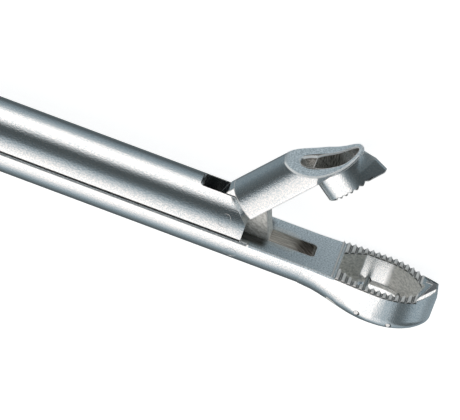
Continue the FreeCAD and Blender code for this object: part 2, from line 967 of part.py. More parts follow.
def shape_jaw_top(body):
    """The half-round back with its leaning heel, and the scooped top with a thin lip."""
    half_round(body, "back", zero, s.shoulder_end, flat_y, above=True, axis_y=axis_y)
    high = axis_y + s.shaft_radius + s.overrun
    low = flat_y - s.overrun
    lean = tangent(s.heel_lean)
    heel = outline_sketch(
        body,
        "heel_profile",
        "XY_Plane",
        [
            corner(s.jaw_heel + lean * s.overrun, low),
            corner(s.jaw_heel - lean * (high - flat_y), high),
            corner(-s.overrun, high),
            corner(-s.overrun, low),
        ],
    )
    cut(body, "heel", heel, full_width, both_sides=True)
    for side, name in ((-1, "near"), (1, "far")):
        shoulder = outline_sketch(
            body,
            f"shoulder_{name}_plan",
            "XZ_Plane",
            [
                corner(s.shoulder_start, s.shaft_radius * side),
                corner(s.shoulder_end + s.overrun, s.shaft_radius * side),
                corner(s.shoulder_end + s.overrun, s.lip_half * side),
                corner(s.shoulder_end, s.lip_half * side),
            ],
        )
        cut(body, f"shoulder_{name}", shoulder, high)
    lip = outline_sketch(
        body,
        "lip_plan",
        "XZ_Plane",
        [
            corner(s.lip_start, -s.lip_half),
            corner(s.lip_centre, -s.lip_half, s.lip_half),
            corner(s.lip_centre + s.lip_half, zero, s.lip_half),
            corner(s.lip_centre, s.lip_half),
            corner(s.lip_start, s.lip_half),
        ],
        offset=-(axis_y + s.lip_underside),
    )
    pad(body, "lip", lip, s.overrun, backward=True)
    lip_slope = outline_sketch(
        body,
        "lip_slope_profile",
        "XY_Plane",
        [
            corner(s.lip_start - s.overrun, flat_y),
            corner(s.lip_start, flat_y),
            corner(s.lip_level_start, axis_y + s.lip_underside),
            corner(s.lip_level_start, low),
            corner(s.lip_start - s.overrun, low),
        ],
    )
    cut(body, "lip_slope", lip_slope, full_width, both_sides=True)
    centre_y = axis_y + s.scoop_floor + s.scoop_radius
    scoop_start = s.scoop_centre - other_leg(s.scoop_radius, centre_y - high)
    ahead = s.lip_centre + s.lip_half + s.overrun
    scoop = outline_sketch(
        body,
        "scoop_profile",
        "XY_Plane",
        [
            corner(scoop_start, high, s.scoop_radius),
            corner(s.scoop_centre, axis_y + s.scoop_floor),
            corner(ahead, axis_y + s.scoop_floor),
            corner(ahead, high),
        ],
    )
    cut(body, "scoop", scoop, full_width, both_sides=True)
    floor_y = (axis_y + s.scoop_floor).value

    def on_scoop(point):
        if point.x > s.scoop_centre.value:
            return abs(point.y - floor_y) < 1e-4
        across = math.hypot(point.x - s.scoop_centre.value, point.y - centre_y.value)
        return abs(across - s.scoop_radius.value) < 1e-3

    def rim_edge(edge):
        return all(on_scoop(point) for point in edge.discretize(5))

    round_edges(body, "rim_round", s.rim_break, rim_edge)


def capsule(back, front, back_half, front_half):
    """A long rounded outline seen from above, which may widen to the front."""
    first = back + back_half
    last = front - front_half
    return [
        corner(first, -back_half),
        corner(last, -front_half, front_half),
        corner(front, zero, front_half),
        corner(last, front_half),
        corner(first, back_half, back_half),
        corner(back, zero, back_half),
    ]


def skirt_section(body, name, nose, level_y):
    """The skirt's outline at one level: a long ring drawn out to a straight-sided nose."""
    half = s.skirt_half
    reach = nose - s.skirt_centre
    touch_x = s.skirt_centre + half * half / reach
    touch_z = half * other_leg(reach, half) / reach
    first = s.skirt_back + half
    return outline_sketch(
        body,
        name,
        "XZ_Plane",
        [
            corner(first, -half),
            corner(s.skirt_centre, -half, half),
            corner(touch_x, -touch_z),
            corner(nose, zero),
            corner(touch_x, touch_z, half),
            corner(s.skirt_centre, half),
            corner(first, half, half),
            corner(s.skirt_back, zero, half),
        ],
        offset=-level_y,
    )


def add_skirt(body):
    """The ring that drops into the basket, with teeth below and a leaning nose."""
    root = skirt_section(body, "skirt_root_plan", skirt_nose, axis_y + s.skirt_root)
    middle = skirt_section(
        body, "skirt_middle_plan", nose_middle, axis_y - s.nose_middle_drop
    )
    end = skirt_section(body, "skirt_end_plan", nose_reach, axis_y - s.nose_drop)
    skirt = body.newObject("PartDesign::AdditiveLoft", "skirt")
    skirt.Profile = root
    skirt.Sections = [middle, end]
    skirt.Ruled = True
    document.recompute()

    def nose_edge(edge):
        ahead = all(end.Point.x > skirt_nose.value - 1e-4 for end in edge.Vertexes)
        return ahead and all(abs(end.Point.z) < 1e-4 for end in edge.Vertexes)

    round_edges(body, "nose_round_off", s.nose_round, nose_edge)
    skirt_y = axis_y - s.skirt_drop
    nose_y = axis_y - s.nose_drop
    under = outline_sketch(
        body,
        "skirt_underside",
        "XY_Plane",
        [
            corner(s.skirt_back - s.overrun, skirt_y),
            corner(s.nose_start, skirt_y),
            corner(nose_reach - s.nose_chin, nose_y, s.nose_chin),
            corner(nose_reach, nose_y + s.nose_chin),
            corner(nose_reach + s.overrun, nose_y + s.nose_chin),
            corner(nose_reach + s.overrun, nose_y - s.overrun),
            corner(s.skirt_back - s.overrun, nose_y - s.overrun),
        ],
    )
    cut(body, "skirt_trim", under, full_width, both_sides=True)


def bore_cutter(body):
    """The through hole of the ring, with the ball-ended run-in behind it."""
    high = axis_y + s.shaft_radius + s.overrun
    plan = outline_sketch(
        body,
        "cutter_plan",
        "XZ_Plane",
        capsule(s.cutter_back, s.cutter_front, s.cutter_back_half, s.cutter_half),
        offset=-high,
    )
    cut(body, "cutter", plan, high + s.nose_drop + s.overrun, backward=True)
    ramp = body.newObject("PartDesign::SubtractiveSphere", "cutter_ramp")
    ramp.setExpression("Radius", s.cutter_back_half.formula)
    ramp.setExpression("Placement.Base.x", (s.ramp_back + s.cutter_back_half).formula)
    ramp.setExpression("Placement.Base.y", (axis_y + s.ramp_level).formula)
    document.recompute()


def add_tongue(body):
    """The thin plate that carries the pivot hole and the link slot."""
    top = axis_y + other_leg(s.shaft_radius, s.tongue_half)
    play = s.link_play
    slot_half = s.jaw_pin_radius + play
    boss = slot_half + s.link_wall
    slot_low = link_height - play
    slot_high = link_reach + play
    along_x = sine(half_swing)
    along_y = cosine(half_swing)
    high_x = along_x * slot_high
    high_y = along_y * slot_high
    low = -s.tongue_floor
    foot = other_leg(s.tongue_boss, s.tongue_floor)
    plate = outline_sketch(
        body,
        "tongue_outline",
        "XY_Plane",
        [
            corner(-foot, low),
            corner(s.tongue_toe, low),
            corner(s.tongue_front, flat_y),
            corner(s.tongue_front, top),
            corner(s.tongue_top_back, top),
            corner(high_x - boss * along_x, high_y + boss * along_y, boss, 1),
            corner(high_x - boss * along_y, high_y + boss * along_x),
            corner(-s.tongue_boss, zero, s.tongue_boss, 1),
        ],
    )
    pad(body, "tongue", plate, s.tongue_half * 2, both_sides=True)

    def slot_point(reach, offset, radius=None):
        return corner(
            along_x * reach - along_y * offset,
            along_y * reach + along_x * offset,
            radius,
        )

    slot = outline_sketch(
        body,
        "link_slot_outline",
        "XY_Plane",
        [
            slot_point(slot_low, -slot_half),
            slot_point(slot_high, -slot_half, slot_half),
            slot_point(slot_high + slot_half, zero, slot_half),
            slot_point(slot_high, slot_half),
            slot_point(slot_low, slot_half, slot_half),
            slot_point(slot_low - slot_half, zero, slot_half),
        ],
    )
    cut(body, "link_slot", slot, full_width, both_sides=True)
    hole = circle_sketch(
        body,
        "pivot_hole_place",
        "XY_Plane",
        [(zero, zero, s.jaw_pin_radius + s.running_gap)],
    )
    cut(body, "pivot_hole", hole, full_width, both_sides=True)


def make_upper_jaw():
    body = new_body("upper_jaw", turn=s.open_angle, place_x=jaw_x, place_y=-s.pivot_drop)
    shape_jaw_top(body)
    add_skirt(body)
    bore_cutter(body)
    add_tongue(body)
    cut_teeth(
        body,
        "skirt_teeth",
        s.skirt_teeth_start,
        axis_y - s.skirt_drop,
        s.skirt_tooth_depth,
        s.skirt_teeth_count,
        up=False,
    )
    return body


# Handle


def oval_sketch(body, name, role, along, half_across, half_thick, offset, origin):
    """An oval section of an arm, drawn as one ellipse."""
    drawing = new_sketch(body, name, role, offset, origin)
    centre = FreeCAD.Vector(along.value, 0, 0)
    tall = half_thick.value >= half_across.value
    across = centre + FreeCAD.Vector(half_across.value, 0, 0)
    thick = centre + FreeCAD.Vector(0, half_thick.value, 0)
    major = thick if tall else across
    minor = across if tall else thick
    geometry = drawing.addGeometry(Part.Ellipse(major, minor, centre), False)
    drawing.exposeInternalGeometry(geometry)
    long_axis = geometry + 1
    short_axis = geometry + 2
    tie(drawing, "DistanceX", geometry, 3, along)
    tie(drawing, "DistanceY", geometry, 3, zero)
    upright = "Vertical" if tall else "Horizontal"
    drawing.addConstraint(Sketcher.Constraint(upright, long_axis))
    sizes = (half_thick, half_across) if tall else (half_across, half_thick)
    for axis, half in zip((long_axis, short_axis), sizes):
        length = Sketcher.Constraint("Distance", axis, half.value * 2)
        index = drawing.addConstraint(length)
        drawing.setExpression(f"Constraints[{index}]", (half * 2).formula)
    return drawing


def add_arm(body, start_x, start_y, drop, sweep, side):
    """An oval arm that leaves downward and curves aside; returns the place of its ring."""
    radius = (sweep * sweep + drop * drop) / (sweep * 2)
    end_x = start_x + sweep * side
    end_y = start_y - drop
    spine = new_sketch(body, "arm_line", "XY_Plane")
    add_outline(
        spine,
        [corner(start_x, start_y, radius, side), corner(end_x, end_y)],
        closed=False,
    )
    section = oval_sketch(
        body,
        "arm_section",
        "XZ_Plane",
        zero,
        s.arm_half_width,
        s.arm_half_thickness,
        offset=-start_y,
        origin=(start_x, zero),
    )
    document.recompute()
    arm = body.newObject("PartDesign::AdditivePipe", "arm")
    arm.Profile = section
    arm.Spine = (spine, ["Edge1"])
    document.recompute()
    lean_x = (drop / radius) * side
    lean_y = (radius - sweep) / radius
    ring_x = end_x + ring_radius * lean_x
    ring_y = end_y - ring_radius * lean_y
    return ring_x, ring_y


def add_ring(body, ring_x, ring_y):
    """A flat oval band bent round to a finger ring."""
    section = oval_sketch(
        body,
        "ring_section",
        "XZ_Plane",
        ring_radius,
        s.ring_section_half,
        s.ring_half_thickness,
        offset=-ring_y,
        origin=(ring_x, zero),
    )
    document.recompute()
    ring = body.newObject("PartDesign::Revolution", "ring")
    ring.Profile = section
    ring.ReferenceAxis = (section, ["V_Axis"])
    ring.Angle = 360
    document.recompute()


def make_fixed_handle():
    body = new_body("fixed_handle")
    radius = s.body_round
    plate = outline_sketch(
        body,
        "body_outline",
        "XY_Plane",
        [
            corner(radius - s.body_back, -s.body_bottom),
            corner(s.body_front - radius, -s.body_bottom, radius),
            corner(s.body_front, radius - s.body_bottom),
            corner(s.body_front, s.body_top),
            corner(-s.body_back, s.body_top),
            corner(-s.body_back, radius - s.body_bottom, radius),
        ],
    )
    pad(body, "body_block", plate, s.rest_height * 2, both_sides=True)

    def outer_edge(edge):
        upper = level(edge, "z", s.rest_height)
        lower = level(edge, "z", -s.rest_height)
        return upper or lower

    round_edges(body, "body_edge_round", s.edge_round, outer_edge)
    ring_x, ring_y = add_arm(
        body,
        -s.fixed_arm_back,
        -s.fixed_arm_start,
        s.fixed_arm_drop,
        s.fixed_arm_sweep,
        -1,
    )
    stop_boss = circle_sketch(
        body,
        "stop_boss_place",
        "YZ_Plane",
        [(-s.stop_drop, zero, s.stop_boss_radius)],
        offset=-s.stop_boss_back,
    )
    pad(body, "stop_boss", stop_boss, s.stop_boss_back - s.stop_boss_front)
    add_ring(body, ring_x, ring_y)
    add_handle_channel(body)
    add_handle_holes(body)
    return body


def add_handle_channel(body):
    """The groove that holds the lower shaft and lets the slide run, and the lever slot."""
    side = s.shaft_radius + s.channel_gap
    channel = outline_sketch(
        body,
        "channel_profile",
        "YZ_Plane",
        [
            corner(zero, s.shaft_radius, s.shaft_radius, 1),
            corner(-s.shaft_radius, zero, s.shaft_radius, 1),
            corner(zero, -s.shaft_radius),
            corner(zero, -side),
            corner(s.body_top + s.overrun, -side),
            corner(s.body_top + s.overrun, side),
            corner(zero, side),
        ],
        offset=-s.shaft_tail,
    )
    length = s.shaft_tail + s.body_front + s.overrun
    cut(body, "channel", channel, length, backward=True)
    lever_slot = outline_sketch(
        body,
        "lever_slot_plan",
        "XZ_Plane",
        rounded_slot(
            -s.body_slot_half, s.body_slot_half, s.lever_slot_half, s.tongue_slot_corner
        ),
    )
    cut(body, "lever_slot", lever_slot, s.body_bottom + s.overrun, backward=True)


def add_handle_holes(body):
    dowels = circle_sketch(
        body,
        "dowel_places",
        "XY_Plane",
        [
            (s.dowel_place, -s.dowel_drop, s.dowel_radius),
            (-s.dowel_place, -s.dowel_drop, s.dowel_radius),
            (zero, -s.lever_drop, s.screw_radius),
        ],
    )
    cut(body, "cross_holes", dowels, full_width, both_sides=True)
    screw_head = circle_sketch(
        body,
        "screw_head_place",
        "XY_Plane",
        [(zero, -s.lever_drop, s.screw_head_radius)],
        offset=s.rest_height - s.screw_recess - s.screw_head_thickness,
    )
    cut(body, "screw_seat", screw_head, s.rest_height, backward=True)
    nut = circle_sketch(
        body,
        "nut_place",
        "XY_Plane",
        [(zero, -s.lever_drop, s.nut_radius)],
        offset=-(s.rest_height - s.screw_recess - s.nut_thickness),
    )
    cut(body, "nut_seat", nut, s.rest_height)
    stop = circle_sketch(
        body,
        "stop_hole_place",
        "YZ_Plane",
        [(-s.stop_drop, zero, s.stop_radius)],
        offset=-(s.stop_boss_back + s.overrun),
    )
    cut(body, "stop_hole", stop, s.stop_boss_back, backward=True)


def make_finger_lever():
    """Drawn at mid travel about its pivot."""
    body = new_body("finger_lever", turn=half_lever_swing, place_y=-s.lever_drop)
    boss = s.lever_boss
    side = other_leg(boss, s.fork_half)
    tip = drive_height + s.fork_tip
    fork_floor = drive_height - s.fork_depth
    slot_half = s.drive_pin_radius + s.drive_play
    lower = -(s.lever_arm_start + s.lever_boss)
    plate = outline_sketch(
        body,
        "plate_outline",
        "XY_Plane",
        [
            corner(-s.fork_half, side, boss, 1),
            corner(-boss, zero, boss, 1),
            corner(-s.fork_half, -side),
            corner(-s.fork_half, lower),
            corner(s.fork_half, lower),
            corner(s.fork_half, -side, boss, 1),
            corner(boss, zero, boss, 1),
            corner(s.fork_half, side),
            corner(s.fork_half, tip),
            corner(slot_half, tip),
            corner(slot_half, fork_floor),
            corner(-slot_half, fork_floor),
            corner(-slot_half, tip),
            corner(-s.fork_half, tip),
        ],
    )
    pad(body, "plate", plate, s.lever_half * 2, both_sides=True)
    ring_x, ring_y = add_arm(
        body, zero, -s.lever_arm_start, s.lever_arm_drop, s.lever_arm_sweep, 1
    )
    add_ring(body, ring_x, ring_y)
    hole = circle_sketch(
        body, "pivot_hole_place", "XY_Plane", [(zero, zero, s.screw_radius + s.running_gap)]
    )
    cut(body, "pivot_hole", hole, full_width, both_sides=True)
    return body


# Screws and nuts


def driver_slot(body, name, x, y, half_length, top, depth, backward):
    """A straight slot across the end of a screw or nut, facing up or down the Z axis."""
    slot = outline_sketch(
        body,
        f"{name}_plan",
        "XY_Plane",
        [
            corner(x - half_length, y - s.driver_slot_half),
            corner(x + half_length, y - s.driver_slot_half),
            corner(x + half_length, y + s.driver_slot_half),
            corner(x - half_length, y + s.driver_slot_half),
        ],
        offset=top,
    )
    cut(body, name, slot, depth, backward=backward)


def make_lever_pivot_screw():
    body = new_body("lever_pivot_screw")
    top = s.rest_height - s.screw_recess
    seat = top - s.screw_head_thickness
    bottom = -(s.rest_height - s.screw_recess - s.nut_thickness)
    end_radius = s.screw_radius - s.driver_slot_depth
    shank = circle_sketch(
        body,
        "shank_place",
        "XY_Plane",
        [(zero, -s.lever_drop, s.screw_radius)],
        offset=bottom,
    )
    pad(body, "shank", shank, seat - bottom)
    head = circle_sketch(
        body,
        "head_place",
        "XY_Plane",
        [(zero, -s.lever_drop, s.screw_head_radius)],
        offset=seat,
    )
    pad(body, "head", head, s.screw_head_thickness)
    thread = circle_sketch(
        body, "thread_place", "XY_Plane", [(zero, -s.lever_drop, end_radius)], offset=bottom
    )
    pad(body, "thread_end", thread, s.nut_thickness, backward=True)
    driver_slot(
        body,
        "driver_slot",
        zero,
        -s.lever_drop,
        s.screw_head_radius + s.overrun,
        top,
        s.driver_slot_depth,
        False,
    )
    return body


def make_lever_pivot_nut():
    body = new_body("lever_pivot_nut")
    top = -(s.rest_height - s.screw_recess - s.nut_thickness)
    outline = circle_sketch(
        body,
        "outline",
        "XY_Plane",
        [
            (zero, -s.lever_drop, s.nut_radius),
            (zero, -s.lever_drop, s.screw_radius - s.driver_slot_depth),
        ],
        offset=top,
    )
    pad(body, "disc", outline, s.nut_thickness, backward=True)
    driver_slot(
        body,
        "driver_slot",
        zero,
        -s.lever_drop,
        s.nut_radius + s.overrun,
        top - s.nut_thickness,
        s.driver_slot_depth,
        True,
    )
    return body


def make_stop_screw():
    """A headless screw with a slot behind and a plain tip that the lever meets."""
    body = new_body("stop_screw")
    back = -(s.stop_boss_back + s.stop_nut_thickness)
    place = circle_sketch(
        body,
        "shank_place",
        "YZ_Plane",
        [(-s.stop_drop, zero, s.stop_radius)],
        offset=back,
    )
    pad(body, "shank", place, -back - s.stop_tip)
    slot = outline_sketch(
        body,
        "driver_slot_outline",
        "XY_Plane",
        [
            corner(back - s.overrun, -s.stop_drop - s.driver_slot_half / 2),
            corner(back + s.stop_slot_depth, -s.stop_drop - s.driver_slot_half / 2),
            corner(back + s.stop_slot_depth, -s.stop_drop + s.driver_slot_half / 2),
            corner(back - s.overrun, -s.stop_drop + s.driver_slot_half / 2),
        ],
    )
    cut(body, "driver_slot", slot, full_width, both_sides=True)
    return body


def make_stop_lock_nut():
    """A hexagon nut on the stop screw, tight against the boss."""
    body = new_body("stop_lock_nut")
    half = s.stop_nut_half
    point = half / cosine(as_size(180.0 / HEXAGON_SIDES))
    outline = outline_sketch(
        body,
        "outline",
        "YZ_Plane",
        [
            corner(-s.stop_drop - half, -point / 2),
            corner(-s.stop_drop, -point),
            corner(half - s.stop_drop, -point / 2),
            corner(half - s.stop_drop, point / 2),
            corner(-s.stop_drop, point),
            corner(-s.stop_drop - half, point / 2),
        ],
        offset=-s.stop_boss_back,
    )
    add_circle(outline, -s.stop_drop, zero, s.stop_radius)
    pad(body, "hexagon", outline, s.stop_nut_thickness, backward=True)
    return body


def make_pins():
    """Every plain pin of the punch."""
    return [
        flush_pin("jaw_pivot_pin", jaw_x, -s.pivot_drop, s.jaw_pin_radius),
        flush_pin("jaw_link_pin", jaw_x + link_rest, s.link_rise, s.jaw_pin_radius),
        cross_pin(
            "basket_pin_rear",
            jaw_x + s.basket_pin_rear,
            -s.basket_pin_drop,
            s.basket_pin_radius,
            s.basket_pin_reach,
        ),
        cross_pin(
            "basket_pin_front",
            jaw_x + s.basket_pin_front,
            -s.basket_pin_front_drop,
            s.basket_pin_radius,
            s.basket_pin_front_reach,
        ),
        cross_pin(
            "shaft_dowel_front", s.dowel_place, -s.dowel_drop, s.dowel_radius, s.dowel_reach
        ),
        cross_pin(
            "shaft_dowel_rear", -s.dowel_place, -s.dowel_drop, s.dowel_radius, s.dowel_reach
        ),
        flush_pin("drive_pin", -half_travel, s.drive_rise, s.drive_pin_radius),
        flush_pin("guide_pin_rear", key_places[0], s.key_pin_rise, s.key_pin_radius),
        flush_pin("guide_pin_front", key_places[1], s.key_pin_rise, s.key_pin_radius),
    ]


def check_document(pieces):
    """Stops on any failed feature or unsound solid before anything is written."""
    for item in document.Objects:
        if "Invalid" in item.State or "Error" in item.State:
            raise RuntimeError(f"{item.Name} failed: {item.State}")
    for piece in pieces:
        if piece.Shape.isNull() or not piece.Shape.isValid():
            raise RuntimeError(f"{piece.Label} has no sound shape")
        if len(piece.Shape.Solids) != 1:
            raise RuntimeError(f"{piece.Label} has {len(piece.Shape.Solids)} solids")


def main():
    pieces = [
        make_lower_shaft(),
        make_upper_slide(),
        make_slide_key("slide_guide_rear", key_places[0]),
        make_slide_key("slide_guide_front", key_places[1]),
        make_upper_jaw(),
        make_fixed_handle(),
        make_finger_lever(),
        make_lever_pivot_screw(),
        make_lever_pivot_nut(),
        make_stop_screw(),
        make_stop_lock_nut(),
    ]
    pieces += make_pins()
    document.recompute()
    check_document(pieces)
    os.makedirs("parts", exist_ok=True)
    for piece in pieces:
        piece.Shape.exportStep(f"parts/{piece.Label}.step")
        print(f"{piece.Label} {piece.Shape.Volume:.3f}")
    print(f"slide travel {slide_travel.value:.4f}")
    print(f"lever swing {(half_lever_swing * 2).value:.4f}")


main()
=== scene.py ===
import math

import bpy
from mathutils import Matrix, Vector


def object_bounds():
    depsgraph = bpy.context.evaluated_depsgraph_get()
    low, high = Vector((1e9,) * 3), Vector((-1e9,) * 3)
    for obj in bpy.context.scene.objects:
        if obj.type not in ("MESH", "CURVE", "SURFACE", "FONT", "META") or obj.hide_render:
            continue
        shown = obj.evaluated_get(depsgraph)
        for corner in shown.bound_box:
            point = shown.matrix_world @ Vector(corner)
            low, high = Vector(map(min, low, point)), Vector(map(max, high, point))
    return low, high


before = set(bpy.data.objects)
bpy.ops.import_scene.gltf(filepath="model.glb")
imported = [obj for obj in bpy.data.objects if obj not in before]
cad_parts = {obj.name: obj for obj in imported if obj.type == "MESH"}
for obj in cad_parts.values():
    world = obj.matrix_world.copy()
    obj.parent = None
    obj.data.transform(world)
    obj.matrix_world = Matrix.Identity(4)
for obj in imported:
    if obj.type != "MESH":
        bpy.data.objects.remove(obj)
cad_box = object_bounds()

MM = 0.001

# The photograph's frame: 460 by 420 pixels, 10.11 of them to a millimetre at the jaw.
PHOTO_WIDE = 460
PHOTO_HIGH = 420
PIXELS_PER_MM = 10.11
HINGE_MARK = Vector((183.0, 0.0, 4.5))
HINGE_PIXEL = (241.05, 223.55)
PHOTO_RIGHT = Vector((0.9405, 0.2943, -0.1918))
PHOTO_BACK = Vector((0.02, 0.50, 0.866))
CAMERA_DISTANCE = 500.0
NEAR_CLIP = 0.01
FAR_CLIP = 20.0
SENSOR_WIDE = 36.0

SHAFT_LEVEL = 4.5
FLOOR_HALF = 3000.0
FLOOR_DROP = 0.02
FLOOR_TONE = 0.55
FLOOR_GLOW = 0.86


def link_or_set(tree, socket, value):
    """Links a socket to another node's output, or gives it a plain value."""
    if isinstance(value, bpy.types.NodeSocket):
        tree.links.new(value, socket)
    else:
        socket.default_value = value


def place(tree, kind, settings=None, **inputs):
    """Adds a node, sets its options, and links or sets the sockets named with underscores."""
    node = tree.nodes.new(kind)
    for name, value in (settings or {}).items():
        setattr(node, name, value)
    for name, value in inputs.items():
        link_or_set(tree, node.inputs[name.replace("_", " ")], value)
    return node


def math_step(tree, operation, *terms):
    """A math node on one, two or three terms."""
    node = tree.nodes.new("ShaderNodeMath")
    node.operation = operation
    for socket, value in zip(node.inputs, terms):
        link_or_set(tree, socket, value)
    return node.outputs[0]


def vector_step(tree, operation, *terms):
    """A vector math node on one or two terms; gives the node."""
    node = tree.nodes.new("ShaderNodeVectorMath")
    node.operation = operation
    for socket, value in zip(node.inputs, terms):
        link_or_set(tree, socket, value)
    return node


def spread(tree, value, low, high, out_low, out_high, smooth=True):
    """Carries a value from one span onto another, held at both ends."""
    node = place(
        tree,
        "ShaderNodeMapRange",
        {"interpolation_type": "SMOOTHSTEP" if smooth else "LINEAR", "clamp": True},
        Value=value,
    )
    for name, number in (
        ("From Min", low),
        ("From Max", high),
        ("To Min", out_low),
        ("To Max", out_high),
    ):
        link_or_set(tree, node.inputs[name], number)
    return node.outputs[0]


def mix_colours(tree, amount, first, second):
    """The first colour where the amount is zero and the second where it is one."""
    node = tree.nodes.new("ShaderNodeMix")
    node.data_type = "RGBA"
    link_or_set(tree, node.inputs[0], amount)
    link_or_set(tree, node.inputs[6], first)
    link_or_set(tree, node.inputs[7], second)
    return node.outputs[2]


def mix_values(tree, amount, first, second):
    """The same for two plain values."""
    node = tree.nodes.new("ShaderNodeMix")
    node.data_type = "FLOAT"
    link_or_set(tree, node.inputs[0], amount)
    link_or_set(tree, node.inputs[2], first)
    link_or_set(tree, node.inputs[3], second)
    return node.outputs[0]


def colour(red, green, blue):
    """A colour with nothing clear in it."""
    return (red, green, blue, 1.0)


def new_group(name, inputs, outputs):
    """A shader node group with named sockets; gives the tree and its two end nodes."""
    tree = bpy.data.node_groups.new(name, "ShaderNodeTree")
    for label, kind, value in inputs:
        socket = tree.interface.new_socket(name=label, in_out="INPUT", socket_type=kind)
        socket.default_value = value
    for label, kind in outputs:
        tree.interface.new_socket(name=label, in_out="OUTPUT", socket_type=kind)
    start = tree.nodes.new("NodeGroupInput")
    end = tree.nodes.new("NodeGroupOutput")
    return tree, start, end


def use_group(tree, group, **inputs):
    """Places a shared effect in a material, with its own values."""
    node = tree.nodes.new("ShaderNodeGroup")
    node.node_tree = group
    for name, value in inputs.items():
        link_or_set(tree, node.inputs[name.replace("_", " ")], value)
    return node


def blasted_grain():
    """The fine pitting that bead blasting leaves: a height and a light to dark mottle."""
    tree, start, end = new_group(
        "blasted_grain",
        (("Grain Size", "NodeSocketFloat", 0.00016), ("Patch Size", "NodeSocketFloat", 0.003)),
        (("Height", "NodeSocketFloat"), ("Mottle", "NodeSocketFloat")),
    )
    where = tree.nodes.new("ShaderNodeTexCoord").outputs["Object"]
    grain_scale = math_step(tree, "DIVIDE", 1.0, start.outputs["Grain Size"])
    patch_scale = math_step(tree, "DIVIDE", 1.0, start.outputs["Patch Size"])
    pits = place(
        tree, "ShaderNodeTexNoise", Vector=where, Scale=grain_scale, Detail=2.0, Roughness=0.6
    )
    patches = place(
        tree, "ShaderNodeTexNoise", Vector=where, Scale=patch_scale, Detail=3.0, Roughness=0.55
    )
    tree.links.new(pits.outputs[0], end.inputs["Height"])
    fine = spread(tree, pits.outputs[0], 0.38, 0.62, 0.0, 1.0)
    broad = spread(tree, patches.outputs[0], 0.3, 0.7, 0.0, 1.0)
    tree.links.new(mix_values(tree, 0.2, fine, broad), end.inputs["Mottle"])
    return tree


def tool_marks():
    """Fine parallel lines left by a cutter or a belt, drawn out along one direction."""
    tree, start, end = new_group(
        "tool_marks",
        (
            ("Line Size", "NodeSocketFloat", 0.00008),
            ("Line Length", "NodeSocketFloat", 0.004),
            ("Turn", "NodeSocketVector", (0.0, 0.0, 0.0)),
        ),
        (("Height", "NodeSocketFloat"), ("Lines", "NodeSocketFloat")),
    )
    where = tree.nodes.new("ShaderNodeTexCoord").outputs["Object"]
    along = math_step(tree, "DIVIDE", 1.0, start.outputs["Line Length"])
    across = math_step(tree, "DIVIDE", 1.0, start.outputs["Line Size"])
    stretch = place(tree, "ShaderNodeCombineXYZ", X=along, Y=across, Z=across)
    turned = place(
        tree,
        "ShaderNodeVectorRotate",
        {"rotation_type": "EULER_XYZ"},
        Vector=where,
        Rotation=start.outputs["Turn"],
    )
    drawn = vector_step(tree, "MULTIPLY", turned.outputs[0], stretch.outputs[0])
    lines = place(
        tree, "ShaderNodeTexNoise", Vector=drawn.outputs[0], Scale=1.0, Detail=3.0, Roughness=0.6
    )
    tree.links.new(lines.outputs[0], end.inputs["Height"])
    tree.links.new(
        spread(tree, lines.outputs[0], 0.35, 0.65, 0.0, 1.0), end.inputs["Lines"]
    )
    return tree


def box_mask():
    """One inside a box given by its middle and half sizes, and zero outside, with a soft edge."""
    tree, start, end = new_group(
        "box_mask",
        (
            ("Middle", "NodeSocketVector", (0.0, 0.0, 0.0)),
            ("Half", "NodeSocketVector", (1.0, 1.0, 1.0)),
            ("Turn", "NodeSocketVector", (0.0, 0.0, 0.0)),
            ("Corner", "NodeSocketFloat", 0.0),
            ("Softness", "NodeSocketFloat", 0.0002),
        ),
        (("Mask", "NodeSocketFloat"), ("Height In Box", "NodeSocketFloat")),
    )
    where = tree.nodes.new("ShaderNodeTexCoord").outputs["Object"]
    away = vector_step(tree, "SUBTRACT", where, start.outputs["Middle"])
    turned = place(
        tree,
        "ShaderNodeVectorRotate",
        {"rotation_type": "EULER_XYZ"},
        Vector=away.outputs[0],
        Rotation=start.outputs["Turn"],
    )
    in_box = place(tree, "ShaderNodeSeparateXYZ", Vector=turned.outputs[0])
    tree.links.new(in_box.outputs[1], end.inputs["Height In Box"])
    size = vector_step(tree, "ABSOLUTE", turned.outputs[0])
    outside = vector_step(tree, "SUBTRACT", size.outputs[0], start.outputs["Half"])
    sides = place(tree, "ShaderNodeSeparateXYZ", Vector=outside.outputs[0])
    corner = math_step(tree, "MAXIMUM", start.outputs["Corner"], start.outputs["Softness"])
    rounded = [
        math_step(tree, "MAXIMUM", math_step(tree, "ADD", sides.outputs[axis], corner), 0.0)
        for axis in (0, 2)
    ]
    squares = [math_step(tree, "MULTIPLY", side, side) for side in rounded]
    reach = math_step(tree, "SQRT", math_step(tree, "ADD", *squares))
    worst = math_step(
        tree,
        "MAXIMUM",
        math_step(tree, "MAXIMUM", sides.outputs[0], sides.outputs[1]),
        math_step(
            tree, "MAXIMUM", sides.outputs[2], math_step(tree, "SUBTRACT", reach, corner)
        ),
    )
    inside = math_step(tree, "MULTIPLY", start.outputs["Softness"], -1.0)
    tree.links.new(
        spread(tree, worst, inside, start.outputs["Softness"], 1.0, 0.0), end.inputs["Mask"]
    )
    return tree


def worn_edges_and_highlight():
    """Edges eased by tumbling: a rounded normal, and a mask along them for their wear and their
    painted highlight.
    """
    tree, start, end = new_group(
        "worn_edges_and_highlight",
        (("Edge Width", "NodeSocketFloat", 0.0001),),
        (("Normal", "NodeSocketVector"), ("Edge", "NodeSocketFloat")),
    )
    rounded = place(
        tree,
        "ShaderNodeBevel",
        {"samples": EDGE_SAMPLES},
        Radius=start.outputs["Edge Width"],
    )
    face = tree.nodes.new("ShaderNodeNewGeometry").outputs["Normal"]
    facing = vector_step(tree, "DOT_PRODUCT", rounded.outputs[0], face)
    tree.links.new(rounded.outputs[0], end.inputs["Normal"])
    tree.links.new(
        spread(tree, facing.outputs["Value"], EDGE_START, EDGE_FULL, 0.0, 1.0), end.inputs["Edge"]
    )
    return tree


